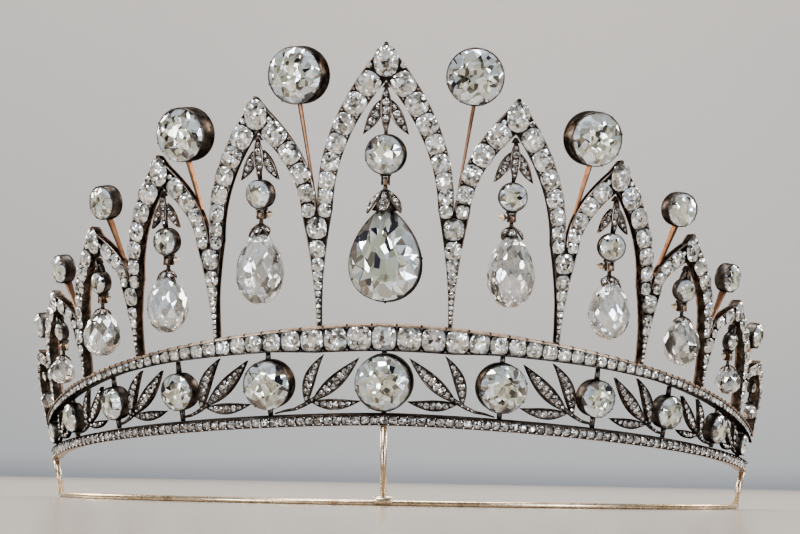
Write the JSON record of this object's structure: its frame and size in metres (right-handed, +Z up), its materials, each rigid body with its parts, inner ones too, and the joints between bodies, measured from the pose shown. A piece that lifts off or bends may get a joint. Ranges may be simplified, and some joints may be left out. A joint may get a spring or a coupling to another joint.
{
  "type": "diadem",
  "caption": "Diadem of graduated pointed arches with hanging drops, on a band of round stones and leaf sprays, standing on a wire base.",
  "frame": {"origin": "foremost point of the plan oval, on the surface that the base wire stands on", "axes": "front faces -Y, +X to the right as seen from the front, +Z up"},
  "size_m": [0.1352, 0.0588, 0.0768],
  "materials": {
    "silver": "darkened silver with bright worn edges",
    "gold": "polished yellow gold, warm",
    "diamond": "cut colourless stone"
  },
  "bodies": {
    "frame": {"base_frame": "gold", "lower_rail": "gold", "upper_rail": "gold", "upper_rail_stones": "diamond", "arcade": "silver", "arch_stones_centre": "diamond", "arch_stones_left": "diamond", "arch_stones_right": "diamond", "frieze_collets": "silver", "frieze_stones": "diamond", "leaf_sprays_left": "silver", "leaf_sprays_right": "silver", "stem_collets": "silver", "stem_stones": "diamond", "pendant_stones": "diamond", "end_pendants": "silver", "end_drop_stones": "diamond", "pendant_centre": "silver", "pendant_l1": "silver", "pendant_l2": "silver", "pendant_l3": "silver", "pendant_l4": "silver", "pendant_r1": "silver", "pendant_r2": "silver", "pendant_r3": "silver", "pendant_r4": "silver"},
    "swing_centre": {"drop_cap_centre": "silver", "drop_centre": "diamond"},
    "swing_l1": {"drop_cap_l1": "silver", "drop_l1": "diamond"},
    "swing_l2": {"drop_cap_l2": "silver", "drop_l2": "diamond"},
    "swing_l3": {"drop_cap_l3": "silver", "drop_l3": "diamond"},
    "swing_l4": {"drop_cap_l4": "silver", "drop_l4": "diamond"},
    "swing_r1": {"drop_cap_r1": "silver", "drop_r1": "diamond"},
    "swing_r2": {"drop_cap_r2": "silver", "drop_r2": "diamond"},
    "swing_r3": {"drop_cap_r3": "silver", "drop_r3": "diamond"},
    "swing_r4": {"drop_cap_r4": "silver", "drop_r4": "diamond"}
  },
  "joints": [
    {"name": "drop_centre_swing", "type": "hinge", "parent": "frame", "child": "swing_centre", "pos_m": [0, -0.00639, 0.05382], "axis": [1, 0, 0], "range_deg": [-45, 45]},
    {"name": "drop_l1_swing", "type": "hinge", "parent": "frame", "child": "swing_l1", "pos_m": [-0.021, -0.00269, 0.04825], "axis": [0.9684, -0.2495, 0], "range_deg": [-45, 45]},
    {"name": "drop_l2_swing", "type": "hinge", "parent": "frame", "child": "swing_l2", "pos_m": [-0.03767, 0.0052, 0.04095], "axis": [0.8841, -0.4673, 0], "range_deg": [-45, 45]},
    {"name": "drop_l3_swing", "type": "hinge", "parent": "frame", "child": "swing_l3", "pos_m": [-0.05063, 0.01546, 0.03495], "axis": [0.7515, -0.6597, 0], "range_deg": [-45, 45]},
    {"name": "drop_l4_swing", "type": "hinge", "parent": "frame", "child": "swing_l4", "pos_m": [-0.05969, 0.02777, 0.02717], "axis": [0.5686, -0.8226, 0], "range_deg": [-45, 45]},
    {"name": "drop_r1_swing", "type": "hinge", "parent": "frame", "child": "swing_r1", "pos_m": [0.021, -0.00269, 0.04825], "axis": [0.9684, 0.2495, 0], "range_deg": [-45, 45]},
    {"name": "drop_r2_swing", "type": "hinge", "parent": "frame", "child": "swing_r2", "pos_m": [0.03767, 0.0052, 0.04095], "axis": [0.8841, 0.4673, 0], "range_deg": [-45, 45]},
    {"name": "drop_r3_swing", "type": "hinge", "parent": "frame", "child": "swing_r3", "pos_m": [0.05063, 0.01546, 0.03495], "axis": [0.7515, 0.6597, 0], "range_deg": [-45, 45]},
    {"name": "drop_r4_swing", "type": "hinge", "parent": "frame", "child": "swing_r4", "pos_m": [0.05969, 0.02777, 0.02717], "axis": [0.5686, 0.8226, 0], "range_deg": [-45, 45]}
  ]
}
